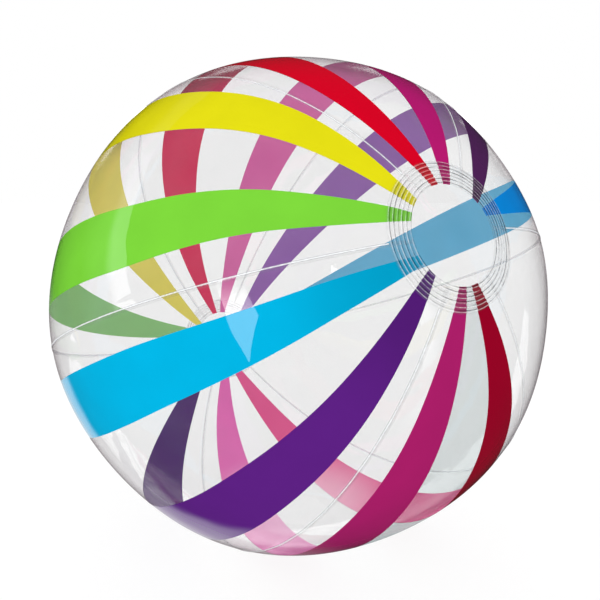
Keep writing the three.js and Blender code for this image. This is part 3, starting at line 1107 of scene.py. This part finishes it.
def arched_edge(start, end, top_azimuth, top_elevation, steps=12):
    """Azimuths and elevations along an arch, from one azimuth to another, with its top here."""
    azimuths = np.linspace(start, end, steps + 1)
    return [(azimuth, top_elevation - ARCH_DROOP * (azimuth - top_azimuth) ** 2) for azimuth in azimuths]


def make_panel(name, near_edge, far_edge, strength, along=None, fade=None):
    """A softbox that only reflections show, as part of a big sphere around the ball. Its two edges
    run through the same number of directions; its light can vary along them and fade across."""
    near = np.array([direction(*spot) for spot in near_edge])
    far = np.array([direction(*spot) for spot in far_edge])
    count = len(near)
    vertices, light = [], []
    for row in range(PANEL_ROWS):
        part = row / (PANEL_ROWS - 1)
        across = fade(part) if fade else 1.0
        for number, spot in enumerate(near + part * (far - near)):
            vertices.append(CENTRE + PANEL_DISTANCE * unit(spot))
            light.append(strength * across * (along(number / (count - 1)) if along else 1.0))
    faces = [
        (row * count + i, row * count + i + 1, (row + 1) * count + i + 1, (row + 1) * count + i)
        for row in range(PANEL_ROWS - 1)
        for i in range(count - 1)
    ]
    mesh = bpy.data.meshes.new(name)
    mesh.from_pydata(vertices, [], faces)
    mesh.attributes.new("light", "FLOAT", "POINT").data.foreach_set("value", light)
    panel = bpy.data.objects.new(name, mesh)
    bpy.context.scene.collection.objects.link(panel)
    tree = start_material(name + "_light", WHITE)
    level = node(tree, "ShaderNodeAttribute", attribute_name="light").outputs["Fac"]
    glow = node(tree, "ShaderNodeEmission", {"Color": WHITE, "Strength": level})
    end_material(tree, glow.outputs[0])
    mesh.materials.append(MATERIALS[name + "_light"])
    panel.visible_camera = False
    panel.visible_diffuse = False
    panel.visible_transmission = False
    panel.visible_shadow = False


def strip_dies(part):
    """Full at the strip's start, and nearly out toward its end."""
    dying = 1 - smooth((part - LEFT_STRIP["full"]) / LEFT_STRIP["dying"])
    return float(max(dying, LEFT_STRIP["least"]))


def kite_rises(part):
    """Nearly out at the kite's upper end, and full from well above its middle."""
    return float(max(smooth(part / FRONT_BOX["rising"]), FRONT_BOX["least"]))


def strip_fade(part):
    """Even at first, then quickly down to a faint glow that dies away."""
    dying = 1 - smooth((part - LEFT_STRIP_ACROSS["full"]) / LEFT_STRIP_ACROSS["dying"])
    return float(max(dying, LEFT_STRIP_ACROSS["faint"] * (1 - part)))


def make_world():
    """White to the camera, brighter from the left for the ball's colours, and a white backdrop with
    a dark front and ceiling for its reflections."""
    world = bpy.data.worlds.new("studio")
    bpy.context.scene.world = world
    world.use_nodes = True
    tree = world.node_tree
    tree.nodes.clear()
    way = node(tree, "ShaderNodeTexCoord").outputs["Generated"]
    towards = node(tree, "ShaderNodeSeparateXYZ", {0: way})
    lean = node(tree, "ShaderNodeVectorMath", {0: way, 1: tuple(KEY_SIDE)}, operation="DOT_PRODUCT")
    soft = ramp(tree, lean.outputs["Value"], -1.0, 1.0, *SOFT_LIGHT)
    turned = math_node(tree, "MULTIPLY_ADD", towards.outputs["X"], BACKDROP_TURN)
    tree.links.new(towards.outputs["Y"], turned.node.inputs[2])
    behind = ramp(tree, turned, *BACKDROP_BEHIND, 0.0, 1.0)
    low = ramp(tree, towards.outputs["Z"], *BACKDROP_LOW, 1.0, 0.0)
    left = ramp(tree, towards.outputs["X"], *BACKDROP_LEFT, BACKDROP_LEVEL, 0.0)
    mirrored = math_node(tree, "MULTIPLY", math_node(tree, "MULTIPLY", behind, low), left)
    mirrored = math_node(tree, "ADD", mirrored, DARKEST_MIRRORED)
    path = node(tree, "ShaderNodeLightPath")
    others = node(tree, "ShaderNodeMix", {0: path.outputs["Is Glossy Ray"], 2: soft, 3: mirrored})
    seen = path.outputs["Is Camera Ray"]
    strength = node(tree, "ShaderNodeMix", {0: seen, 2: others.outputs[0], 3: 1.0}).outputs[0]
    background = node(tree, "ShaderNodeBackground", {"Color": WHITE, "Strength": strength})
    output = node(tree, "ShaderNodeOutputWorld")
    tree.links.new(background.outputs[0], output.inputs["Surface"])


def make_camera():
    data = bpy.data.cameras.new("camera")
    data.lens = CAMERA_LENS_MM
    data.sensor_width = 36
    data.clip_start, data.clip_end = 0.01, 200
    camera = bpy.data.objects.new("camera", data)
    bpy.context.scene.collection.objects.link(camera)
    back = direction(0, CAMERA_ELEVATION_DEG)
    up = direction(0, CAMERA_ELEVATION_DEG + 90)
    place_at = CENTRE + CAMERA_DISTANCE * back
    aim = CENTRE + AIM_UP * up - AIM_LEFT * direction(90, 0)
    camera.location = place_at
    camera.rotation_euler = Vector(aim - place_at).to_track_quat("-Z", "Y").to_euler()
    bpy.context.scene.camera = camera


make_floor()
make_world()
make_panel(
    "left_strip",
    arched_edge(start=-72, end=-156, top_azimuth=-140, top_elevation=50),
    arched_edge(start=-92, end=-160, top_azimuth=-148, top_elevation=20),
    LEFT_STRIP["strength"],
    along=strip_dies,
    fade=strip_fade,
)
make_panel(
    "front_box",
    straight_edge([(-36, 18), (-28, 4), (-18, -14)]),
    straight_edge([(-21, 19), (-14, 4), (-18, -14)]),
    FRONT_BOX["strength"],
    along=kite_rises,
)
make_panel(
    "back_band",
    straight_edge([(158, 14), (202, 14)]),
    straight_edge([(158, -9), (202, -9)]),
    BACK_BAND_STRENGTH,
)
make_camera()

scene = bpy.context.scene
scene.view_settings.view_transform = "Standard"
scene.cycles.transparent_max_bounces = 40
scene.cycles.max_bounces = 8
scene.cycles.diffuse_bounces = 3
scene.cycles.glossy_bounces = 3
